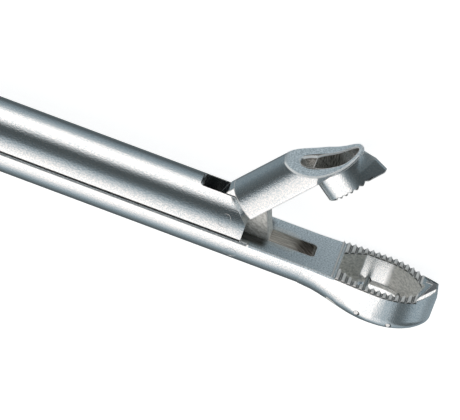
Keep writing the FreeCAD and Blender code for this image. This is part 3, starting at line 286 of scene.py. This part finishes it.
def round_mask():
    """One inside a round post that stands along Z, and zero outside, with a soft edge."""
    tree, start, end = new_group(
        "round_mask",
        (
            ("Middle", "NodeSocketVector", (0.0, 0.0, 0.0)),
            ("Radius", "NodeSocketFloat", 0.001),
            ("Softness", "NodeSocketFloat", 0.0001),
        ),
        (("Mask", "NodeSocketFloat"),),
    )
    where = tree.nodes.new("ShaderNodeTexCoord").outputs["Object"]
    away = vector_step(tree, "SUBTRACT", where, start.outputs["Middle"])
    flat = vector_step(tree, "MULTIPLY", away.outputs[0], (1.0, 1.0, 0.0))
    reach = vector_step(tree, "LENGTH", flat.outputs[0])
    beyond = math_step(tree, "SUBTRACT", reach.outputs["Value"], start.outputs["Radius"])
    tree.links.new(
        spread(tree, beyond, 0.0, start.outputs["Softness"], 1.0, 0.0), end.inputs["Mask"]
    )
    return tree


SATIN = colour(0.97, 0.97, 0.965)
SATIN_DARK = colour(0.76, 0.82, 0.85)
# Along eased edges: their wear and a painted highlight.
EDGE_WEAR_AND_HIGHLIGHT_TONE = colour(0.97, 0.97, 0.96)
EDGE_WEAR_AND_HIGHLIGHT_METAL = 0.75
# Painted highlight on a ring's rounded rim.
RIM_HIGHLIGHT_TONE = colour(0.95, 0.99, 1.0)
# Painted shade round pin seats.
SEAT_SHADE = colour(0.10, 0.11, 0.11)

# Grain, tool lines and soft edges, in millimetres.
GRAIN_SIZE = 0.15
GRAIN_PATCH = 2.5
LINE_SIZE = 0.09
LINE_LENGTH = 2.2
SATIN_GRAIN_DEPTH = 0.013
HANDLE_GRAIN_DEPTH = 0.018
CUT_SOFTNESS = 0.05
RIM_SOFTNESS = 0.03
SEAT_SOFTNESS = 0.08
SEAT_RADIUS = 0.27

# How dull the steel is, and how far the mottle swings it.
SATIN_ROUGHNESS = 0.17
HANDLE_ROUGHNESS = 0.28
ROUGHNESS_SWING = 0.04

# How much of a face turns sideways, as the spans over which a level mask goes
# and the mask of the painted rim highlight comes.
LEVEL_SPAN = (0.3, 0.5)
RIM_SPAN = (0.25, 0.45)

# How far an eased edge has turned from its face where its wear and painted highlight start and are
# full.
EDGE_START = 0.995
EDGE_FULL = 0.93
EDGE_SAMPLES = 6

GRAIN = blasted_grain()
MARKS = tool_marks()
BOX = box_mask()
POST = round_mask()
EDGES = worn_edges_and_highlight()


def new_finish(name):
    """An empty metal material: its tree and its shader."""
    material = bpy.data.materials.new(name)
    material.use_nodes = True
    tree = material.node_tree
    shader = tree.nodes["Principled BSDF"]
    shader.inputs["Metallic"].default_value = 1.0
    return material, tree, shader


def millimetres(x, y, z):
    """A place on the part, in millimetres from the shaft's line, as metres in its frame."""
    return (x * MM, y * MM, (z + SHAFT_LEVEL) * MM)


def blasted_steel(
    name,
    tone,
    dark_tone,
    roughness,
    grain_depth,
    cuts=(),
    edge_width=0.07,
    seats=(),
    edge_wear_and_highlight_metal=EDGE_WEAR_AND_HIGHLIGHT_METAL,
    rim_highlights=(),
):
    """Satin steel, blasted outside.

    Each cut is a box with its own finish: what a tool left, with painted shade and painted
    highlights in some; each seat is a painted shade ring round a pin, and each rim is a painted
    highlight along the rounded edge of a ring.
    """
    material, tree, shader = new_finish(name)
    grain = use_group(tree, GRAIN, Grain_Size=GRAIN_SIZE * MM, Patch_Size=GRAIN_PATCH * MM)
    lines = use_group(tree, MARKS, Line_Size=LINE_SIZE * MM, Line_Length=LINE_LENGTH * MM)
    edges = use_group(tree, EDGES, Edge_Width=edge_width * MM)
    facing = place(
        tree,
        "ShaderNodeSeparateXYZ",
        Vector=tree.nodes.new("ShaderNodeTexCoord").outputs["Normal"],
    )
    sideways = math_step(tree, "ABSOLUTE", facing.outputs[2])
    shade = mix_colours(tree, grain.outputs["Mottle"], dark_tone, tone)
    rough = spread(
        tree,
        grain.outputs["Mottle"],
        0.0,
        1.0,
        roughness + ROUGHNESS_SWING,
        roughness - ROUGHNESS_SWING,
        smooth=False,
    )
    height = grain.outputs["Height"]
    metal = 1.0
    # Some cuts hold painted shade or painted highlights; the others are tool finishes.
    for cut in cuts:
        box = use_group(
            tree,
            BOX,
            Middle=millimetres(*cut["middle"]),
            Half=tuple(side * MM for side in cut["half"]),
            Turn=tuple(math.radians(angle) for angle in cut.get("turn", (0.0, 0.0, 0.0))),
            Corner=cut.get("corner", 0.0) * MM,
            Softness=cut.get("softness", CUT_SOFTNESS) * MM,
        )
        mask = box.outputs["Mask"]
        if cut.get("level"):
            level = spread(tree, sideways, *LEVEL_SPAN, 1.0, 0.0)
            mask = math_step(tree, "MULTIPLY", mask, level)
        marks = lines
        if "line_size" in cut:
            marks = use_group(
                tree,
                MARKS,
                Line_Size=cut["line_size"] * MM,
                Line_Length=cut["line_length"] * MM,
                Turn=tuple(math.radians(angle) for angle in cut["line_turn"]),
            )
        light = marks.outputs["Lines"]
        if "fade" in cut:
            low, high = cut["fade"]
            light = spread(tree, box.outputs["Height In Box"], low * MM, high * MM, 0.0, 1.0)
        tooled_and_painted = mix_colours(tree, light, cut["dark"], cut["tone"])
        shade = mix_colours(tree, mask, shade, tooled_and_painted)
        rough = mix_values(tree, mask, rough, cut["roughness"])
        height = mix_values(tree, mask, height, marks.outputs["Height"])
        metal = mix_values(tree, mask, metal, cut.get("metal", 1.0))
    # Along the edges: real wear, and a painted highlight of lighter, less metallic colour.
    shade = mix_colours(tree, edges.outputs["Edge"], shade, EDGE_WEAR_AND_HIGHLIGHT_TONE)
    metal = mix_values(tree, edges.outputs["Edge"], metal, edge_wear_and_highlight_metal)
    # Painted highlight: a white, non-metal band along the rounded rim of a ring.
    for middle, radius in rim_highlights:
        near = use_group(
            tree,
            POST,
            Middle=millimetres(*middle),
            Radius=radius * MM,
            Softness=RIM_SOFTNESS * MM,
        )
        upright = spread(tree, sideways, *RIM_SPAN, 0.0, 1.0)
        mask = math_step(tree, "MULTIPLY", near.outputs["Mask"], upright)
        shade = mix_colours(tree, mask, shade, RIM_HIGHLIGHT_TONE)
        metal = mix_values(tree, mask, metal, 0.0)
    # Painted shade: a dark disc over each pin's seat.
    for middle, radius in seats:
        seat = use_group(
            tree,
            POST,
            Middle=millimetres(*middle),
            Radius=radius * MM,
            Softness=SEAT_SOFTNESS * MM,
        )
        shade = mix_colours(tree, seat.outputs["Mask"], shade, SEAT_SHADE)
    tree.links.new(shade, shader.inputs["Base Color"])
    tree.links.new(rough, shader.inputs["Roughness"])
    tree.links.new(metal, shader.inputs["Metallic"])
    bump = place(
        tree,
        "ShaderNodeBump",
        Strength=1.0,
        Distance=grain_depth * MM,
        Height=height,
        Normal=edges.outputs["Normal"],
    )
    tree.links.new(bump.outputs[0], shader.inputs["Normal"])
    return material


def turned_steel(name, tone, roughness, ring_middle):
    """Smooth steel from the lathe, with fine rings about an upright axis."""
    material, tree, shader = new_finish(name)
    where = tree.nodes.new("ShaderNodeTexCoord").outputs["Object"]
    centred = place(
        tree,
        "ShaderNodeMapping",
        Vector=where,
        Location=tuple(-side for side in millimetres(*ring_middle)),
    )
    rings = place(
        tree,
        "ShaderNodeTexWave",
        {"wave_type": "RINGS", "rings_direction": "Z", "wave_profile": "SIN"},
        Vector=centred.outputs[0],
        Scale=1.0 / (1.4 * MM),
        Distortion=1.2,
        Detail=2.0,
        Detail_Scale=2.0,
    )
    grain = use_group(tree, GRAIN, Grain_Size=0.12 * MM, Patch_Size=1.5 * MM)
    edges = use_group(tree, EDGES, Edge_Width=0.08 * MM)
    shade = mix_colours(
        tree,
        grain.outputs["Mottle"],
        colour(tone[0] * 0.82, tone[1] * 0.83, tone[2] * 0.85),
        tone,
    )
    # Eased edges: their wear and a painted highlight, lighter than the steel.
    bright = mix_colours(tree, edges.outputs["Edge"], shade, colour(0.9, 0.9, 0.9))
    tree.links.new(bright, shader.inputs["Base Color"])
    tree.links.new(
        spread(tree, rings.outputs["Fac"], 0.0, 1.0, roughness + 0.05, roughness - 0.03, False),
        shader.inputs["Roughness"],
    )
    bump = place(
        tree,
        "ShaderNodeBump",
        Strength=1.0,
        Distance=0.002 * MM,
        Height=rings.outputs["Fac"],
        Normal=edges.outputs["Normal"],
    )
    tree.links.new(bump.outputs[0], shader.inputs["Normal"])
    return material


JAW_OPEN_ANGLE = 51.5
JAW_PIVOT = (183.0, -1.75)
JAW_TURN = (0.0, 0.0, -JAW_OPEN_ANGLE)


def on_open_jaw(x, y, z):
    """The place, on the open jaw, of a point that is known on the closed one."""
    turn = math.radians(JAW_OPEN_ANGLE)
    along = x - JAW_PIVOT[0]
    above = y - JAW_PIVOT[1]
    return (
        JAW_PIVOT[0] + along * math.cos(turn) - above * math.sin(turn),
        JAW_PIVOT[1] + along * math.sin(turn) + above * math.cos(turn),
        z,
    )


# What the cutters left on each part, and the painted shade and painted highlights of single
# places, as boxes in millimetres from the shaft's line. Lines are drawn out at a turn in degrees,
# and fade gives the heights where painted shade ends and painted highlight begins. The parting
# line is painted shade in the gap between the two halves.
PARTING_GAP_SHADE = {
    "middle": (81.5, 0.0, 0.0),
    "half": (102.0, 0.088, 3.6),
    "dark": colour(0.010, 0.012, 0.014),
    "tone": colour(0.020, 0.022, 0.024),
    "roughness": 0.7,
    "softness": 0.02,
}
# Painted shadow under the jaw's tongue, in front of the slide's end.
UNDER_TONGUE_SHADOW = {
    "middle": (183.4, 0.0, 0.0),
    "half": (2.6, 0.6, 2.9),
    "dark": colour(0.06, 0.06, 0.055),
    "tone": colour(0.22, 0.21, 0.20),
    "roughness": 0.4,
    "softness": 0.5,
}
BASKET_HOLLOW = {
    "middle": (196.92, -1.5, 0.0),
    "half": (3.47, 1.60, 3.12),
    "dark": colour(0.56, 0.56, 0.53),
    "tone": colour(0.82, 0.81, 0.77),
    "roughness": 0.8,
    "metal": 0.12,
    "line_size": 0.20,
    "line_length": 0.45,
    "line_turn": (0.0, 0.0, 8.0),
}
BASKET_FRONT = dict(BASKET_HOLLOW, middle=(200.7, -1.5, 0.0), half=(0.4, 1.60, 2.62))
BASKET_TIP = dict(BASKET_HOLLOW, middle=(201.4, -1.5, 0.0), half=(0.6, 1.60, 2.05))
BASKET_REAR = dict(
    BASKET_HOLLOW,
    middle=(194.6, -1.5, 0.0),
    half=(1.3, 1.60, 2.8),
    dark=colour(0.56, 0.57, 0.54),
    tone=colour(0.86, 0.86, 0.82),
    softness=0.5,
)
# Painted shade inside the slot for the tongue, over its tool lines.
TONGUE_SLOT_SHADE = {
    "middle": (185.35, -1.6, 0.0),
    "half": (5.56, 1.5, 1.27),
    "dark": colour(0.11, 0.10, 0.09),
    "tone": colour(0.34, 0.33, 0.30),
    "roughness": 0.34,
    "softness": 0.02,
    "line_size": 0.10,
    "line_length": 1.2,
    "line_turn": (0.0, 0.0, 30.0),
}
# Painted highlight: a soft bright patch inside the slot.
SLOT_HIGHLIGHT = {
    "middle": (186.6, -1.6, 0.0),
    "half": (2.2, 1.5, 1.6),
    "dark": colour(0.50, 0.48, 0.44),
    "tone": colour(1.0, 0.98, 0.92),
    "roughness": 0.6,
    "metal": 0.3,
    "softness": 0.8,
}
JAW_TONGUE = {
    "middle": on_open_jaw(184.3, -2.05, 0.0),
    "half": (4.4, 2.43, 1.25),
    "turn": JAW_TURN,
    "dark": colour(0.66, 0.66, 0.62),
    "tone": colour(1.0, 1.0, 0.96),
    "roughness": 0.42,
    "metal": 0.5,
    "softness": 0.03,
    "line_size": 0.22,
    "line_length": 0.4,
    "line_turn": (0.0, 0.0, 20.0),
}
# Painted shade in the jaw's scoop, over its tool lines.
JAW_SCOOP_SHADE = {
    "middle": on_open_jaw(196.4, -0.1, 0.0),
    "half": (2.93, 2.35, 1.70),
    "turn": JAW_TURN,
    "corner": 1.62,
    "dark": colour(0.10, 0.10, 0.09),
    "tone": colour(0.40, 0.39, 0.36),
    "roughness": 0.42,
    "metal": 0.6,
    "softness": 0.05,
    "line_size": 0.10,
    "line_length": 1.1,
    "line_turn": (0.0, 0.0, -96.0),
}
JAW_FACE = {
    "middle": on_open_jaw(196.5, 1.9, 0.0),
    "half": (3.85, 1.9, 3.2),
    "level": True,
    "turn": JAW_TURN,
    "dark": colour(0.36, 0.45, 0.50),
    "tone": colour(0.72, 0.81, 0.86),
    "roughness": 0.55,
    "metal": 0.45,
    "softness": 0.25,
    "line_size": 0.17,
    "line_length": 0.17,
    "line_turn": (0.0, 0.0, 0.0),
}
BAR_FACE = {
    "middle": (189.0, -0.1, 0.0),
    "half": (4.55, 0.14, 4.2),
    "dark": colour(0.42, 0.51, 0.56),
    "tone": colour(0.78, 0.87, 0.92),
    "roughness": 0.55,
    "metal": 0.55,
    "softness": 0.04,
    "line_size": 0.17,
    "line_length": 0.17,
    "line_turn": (0.0, 0.0, 0.0),
}
# Teeth of the rim: painted shade in the grooves, rising to a painted highlight on the tips.
RIM_TEETH_SHADING = {
    "middle": (197.55, 0.07, 0.0),
    "half": (4.4, 0.19, 4.2),
    "dark": colour(0.05, 0.055, 0.055),
    "tone": colour(1.0, 1.0, 0.98),
    "roughness": 0.36,
    "metal": 0.5,
    "softness": 0.03,
    "fade": (-0.13, 0.10),
}
# Teeth of the skirt: painted shade in the grooves, rising to a painted highlight on the tips.
SKIRT_TEETH_SHADING = {
    "middle": on_open_jaw(197.2, -2.35, 0.0),
    "half": (2.2, 0.22, 3.0),
    "turn": JAW_TURN,
    "dark": colour(0.06, 0.065, 0.065),
    "tone": colour(1.0, 1.0, 0.98),
    "roughness": 0.40,
    "metal": 0.8,
    "softness": 0.04,
    "fade": (0.10, -0.12),
}
# Painted shade on the two gable faces of the beak.
BEAK_GABLE_SHADE_NEAR = {
    "middle": (202.32, 0.95, 0.83),
    "half": (2.0, 0.09, 0.6),
    "turn": (-23.0, -52.4, 0.0),
    "dark": colour(0.09, 0.10, 0.11),
    "tone": colour(0.16, 0.18, 0.19),
    "roughness": 0.34,
    "softness": 0.04,
}
BEAK_GABLE_SHADE_FAR = dict(BEAK_GABLE_SHADE_NEAR, middle=(202.32, 0.95, -0.83), turn=(23.0, 52.4, 0.0))

shaft_finish = blasted_steel(
    "satin_shaft_steel",
    SATIN,
    SATIN_DARK,
    SATIN_ROUGHNESS,
    SATIN_GRAIN_DEPTH,
    (
        BASKET_HOLLOW,
        BASKET_FRONT,
        BASKET_TIP,
        BASKET_REAR,
        BEAK_GABLE_SHADE_NEAR,
        BEAK_GABLE_SHADE_FAR,
        RIM_TEETH_SHADING,
        BAR_FACE,
        TONGUE_SLOT_SHADE,
        SLOT_HIGHLIGHT,
        UNDER_TONGUE_SHADOW,
        PARTING_GAP_SHADE,
    ),
    edge_width=0.12,
    seats=(((196.76, -2.75, 0.0), SEAT_RADIUS), ((200.11, -3.05, 0.0), SEAT_RADIUS)),
)
slide_finish = blasted_steel(
    "satin_slide_steel",
    SATIN,
    SATIN_DARK,
    SATIN_ROUGHNESS,
    SATIN_GRAIN_DEPTH,
    (PARTING_GAP_SHADE,),
    edge_width=0.06,
)
flush_pin_finish = blasted_steel(
    "satin_pin_steel",
    SATIN,
    SATIN_DARK,
    SATIN_ROUGHNESS,
    SATIN_GRAIN_DEPTH,
    edge_width=0.02,
)
jaw_finish = blasted_steel(
    "satin_jaw_steel",
    SATIN,
    SATIN_DARK,
    SATIN_ROUGHNESS,
    SATIN_GRAIN_DEPTH,
    (JAW_FACE, JAW_SCOOP_SHADE, SKIRT_TEETH_SHADING, JAW_TONGUE),
    edge_width=0.20,
    edge_wear_and_highlight_metal=0.2,
    rim_highlights=((on_open_jaw(198.6, 8.0, 0.0), 7.68),),
)
handle_finish = blasted_steel(
    "satin_handle_steel", SATIN, SATIN_DARK, HANDLE_ROUGHNESS, HANDLE_GRAIN_DEPTH
)
pin_finish = turned_steel("turned_pin_steel", colour(0.78, 0.79, 0.79), 0.26, (183.0, -1.75, 0.0))
screw_finish = turned_steel("turned_screw_steel", colour(0.86, 0.87, 0.88), 0.16, (0.0, -8.2, 0.0))

FINISHES = {
    "lower_shaft": shaft_finish,
    "upper_slide": slide_finish,
    "upper_jaw": jaw_finish,
    "fixed_handle": handle_finish,
    "finger_lever": handle_finish,
    "lever_pivot_screw": screw_finish,
    "lever_pivot_nut": screw_finish,
    "stop_screw": screw_finish,
    "stop_lock_nut": screw_finish,
    "jaw_pivot_pin": flush_pin_finish,
    "jaw_link_pin": flush_pin_finish,
    "drive_pin": flush_pin_finish,
    "guide_pin_front": flush_pin_finish,
    "guide_pin_rear": flush_pin_finish,
}


def dress_nodes():
    """Gives every solid its finish."""
    for name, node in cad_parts.items():
        finish = FINISHES.get(name, pin_finish)
        if not node.material_slots:
            node.data.materials.append(finish)
        for slot in node.material_slots:
            slot.material = finish


def lay_floor():
    """A plain white floor that the gloss of the steel doesn't see."""
    for each in bpy.context.selected_objects:
        each.select_set(False)
    low = cad_box[0].z - FLOOR_DROP * MM
    bpy.ops.mesh.primitive_plane_add(size=2 * FLOOR_HALF * MM, location=(0.1, 0.0, low))
    floor = bpy.context.object
    floor.name = "studio_floor"
    material = bpy.data.materials.new("white_floor")
    material.use_nodes = True
    shader = material.node_tree.nodes["Principled BSDF"]
    shader.inputs["Base Color"].default_value = colour(FLOOR_TONE, FLOOR_TONE, FLOOR_TONE)
    shader.inputs["Roughness"].default_value = 1.0
    shader.inputs["Specular IOR Level"].default_value = 0.0
    shader.inputs["Emission Color"].default_value = colour(1.0, 1.0, 1.0)
    shader.inputs["Emission Strength"].default_value = FLOOR_GLOW
    floor.data.materials.append(material)
    floor.visible_glossy = False


# The studio round the shaft's line, as degrees from straight up towards the jaw's side and
# brightness: beside the shaft, near the tip, beyond it, far beyond it, beside the rear and
# behind the handle.
SIDE_BANDS = (
    (-180.0, 0.14),
    (-150.0, 0.14),
    (-126.0, 0.09),
    (-112.0, 0.14),
    (-101.0, 0.22),
    (-90.0, 0.33),
    (-79.0, 0.62),
    (-67.0, 0.96),
    (-54.0, 1.36),
    (-20.0, 1.36),
    (-6.0, 1.02),
    (6.0, 0.82),
    (16.0, 0.47),
    (27.0, 0.18),
    (39.0, 0.075),
    (50.0, 0.055),
    (60.0, 0.12),
    (68.0, 0.78),
    (80.0, 1.42),
    (108.0, 1.42),
    (121.0, 0.82),
    (132.0, 0.35),
    (151.0, 0.25),
    (165.0, 0.055),
)
NEAR_TIP_BANDS = (
    (-180.0, 0.13),
    (-155.0, 0.24),
    (-138.0, 0.36),
    (-118.0, 0.24),
    (-98.0, 0.40),
    (-70.0, 0.62),
    (-44.0, 0.60),
    (-22.0, 0.32),
    (0.0, 0.14),
    (25.0, 0.09),
    (75.0, 0.14),
    (120.0, 0.16),
    (152.0, 0.20),
)
TIP_BANDS = (
    (-180.0, 0.10),
    (-160.0, 0.22),
    (-142.0, 0.44),
    (-124.0, 0.14),
    (-90.0, 0.09),
    (-55.0, 0.14),
    (-20.0, 0.13),
    (20.0, 0.07),
    (58.0, 0.07),
    (74.0, 0.20),
    (90.0, 0.36),
    (112.0, 0.30),
    (140.0, 0.17),
)
FAR_TIP_BANDS = (
    (-180.0, 0.20),
    (-150.0, 0.44),
    (-100.0, 0.48),
    (-60.0, 0.40),
    (-20.0, 0.11),
    (40.0, 0.045),
    (140.0, 0.07),
)
REAR_SIDE_BANDS = (
    (-180.0, 0.26),
    (-150.0, 0.24),
    (-125.0, 0.34),
    (-80.0, 0.60),
    (-52.0, 0.80),
    (-34.0, 1.10),
    (-2.0, 1.10),
    (10.0, 0.90),
    (21.0, 0.42),
    (34.0, 0.16),
    (50.0, 0.16),
    (62.0, 0.70),
    (76.0, 1.05),
    (104.0, 1.05),
    (120.0, 0.55),
    (150.0, 0.20),
)
HANDLE_BANDS = (
    (-180.0, 0.34),
    (-150.0, 0.20),
    (-125.0, 0.24),
    (-80.0, 0.34),
    (-52.0, 0.38),
    (-34.0, 1.05),
    (-2.0, 1.10),
    (10.0, 0.90),
    (21.0, 0.36),
    (32.0, 0.09),
    (60.0, 0.08),
    (100.0, 0.11),
    (150.0, 0.12),
)

# Where each table takes over along the shaft, from where it begins to where it is full:
# one is straight towards the tip and minus one straight towards the handle.
BANDS_ALONG = (
    (NEAR_TIP_BANDS, -0.04, 0.30),
    (TIP_BANDS, 0.42, 0.62),
    (FAR_TIP_BANDS, 0.72, 0.90),
    (REAR_SIDE_BANDS, -0.28, -0.44),
    (HANDLE_BANDS, -0.66, -0.84),
)

# A colour ramp holds no more than one, so the bands are stored divided by this strength.
SKY_STRENGTH = 2.0
DARK_TINT = Vector((0.88, 1.0, 1.02))
MIDDLE_TINT = Vector((0.80, 1.0, 1.12))
BRIGHT_TINT = Vector((1.0, 0.95, 0.92))
MIDDLE_BAND = 0.35
BRIGHT_BAND_RISE = 0.6


def band_colour(brightness):
    """Bright bands are a warm white, the middle greys lean to blue and the dark ones to green."""
    if brightness < MIDDLE_BAND:
        share = brightness / MIDDLE_BAND
        tint = DARK_TINT.lerp(MIDDLE_TINT, share)
    else:
        share = min(1.0, (brightness - MIDDLE_BAND) / BRIGHT_BAND_RISE)
        tint = MIDDLE_TINT.lerp(BRIGHT_TINT, share)
    return (*[brightness * part / SKY_STRENGTH for part in tint], 1.0)


def studio_bands(tree, turn, table):
    """Soft boxes and dark gaps in a ring, from a table of degrees and brightness."""
    bands = tree.nodes.new("ShaderNodeValToRGB")
    bands.color_ramp.interpolation = "B_SPLINE"
    stops = bands.color_ramp.elements
    stops[0].position = 0.0
    stops[1].position = 1.0
    for stop in stops:
        stop.color = band_colour(table[0][1])
    for degrees, brightness in table[1:]:
        stops.new(degrees / 360.0 + 0.5).color = band_colour(brightness)
    tree.links.new(turn, bands.inputs[0])
    return bands.outputs[0]


def light_studio():
    """Bands of light about the shaft's line, which give way to others towards its two ends."""
    world = bpy.data.worlds.new("soft_studio")
    bpy.context.scene.world = world
    world.use_nodes = True
    tree = world.node_tree
    shown = tree.nodes["Background"]
    aim = tree.nodes.new("ShaderNodeTexCoord").outputs["Generated"]
    parts = place(tree, "ShaderNodeSeparateXYZ", Vector=aim)
    roll = math_step(tree, "ARCTAN2", parts.outputs[1], parts.outputs[2])
    turn = math_step(tree, "MULTIPLY_ADD", roll, 0.5 / math.pi, 0.5)
    lit = studio_bands(tree, turn, SIDE_BANDS)
    for table, begins, full in BANDS_ALONG:
        share = spread(tree, parts.outputs[0], begins, full, 0.0, 1.0)
        lit = mix_colours(tree, share, lit, studio_bands(tree, turn, table))
    to_camera = tree.nodes.new("ShaderNodeLightPath").outputs["Is Camera Ray"]
    plain = 1.0 / SKY_STRENGTH
    seen = mix_colours(tree, to_camera, lit, colour(plain, plain, plain))
    tree.links.new(seen, shown.inputs["Color"])
    shown.inputs["Strength"].default_value = SKY_STRENGTH


def set_camera():
    """A long lens at the photograph's viewing angle and roll."""
    back = PHOTO_BACK.normalized()
    right = (PHOTO_RIGHT - back * PHOTO_RIGHT.dot(back)).normalized()
    up = back.cross(right)
    across = (PHOTO_WIDE / 2 - HINGE_PIXEL[0]) / PIXELS_PER_MM
    down = (PHOTO_HIGH / 2 - HINGE_PIXEL[1]) / PIXELS_PER_MM
    middle = HINGE_MARK + right * across - up * down
    stand = Matrix((right, up, back)).transposed().to_4x4()
    stand.translation = (middle + back * CAMERA_DISTANCE) * MM
    data = bpy.data.cameras.new("photo_camera")
    data.sensor_width = SENSOR_WIDE
    data.lens = SENSOR_WIDE * CAMERA_DISTANCE * PIXELS_PER_MM / PHOTO_WIDE
    data.clip_start = NEAR_CLIP
    data.clip_end = FAR_CLIP
    camera = bpy.data.objects.new("photo_camera", data)
    bpy.context.scene.collection.objects.link(camera)
    camera.matrix_world = stand
    bpy.context.scene.camera = camera


dress_nodes()
lay_floor()
light_studio()
set_camera()
bpy.context.scene.view_settings.view_transform = "Standard"
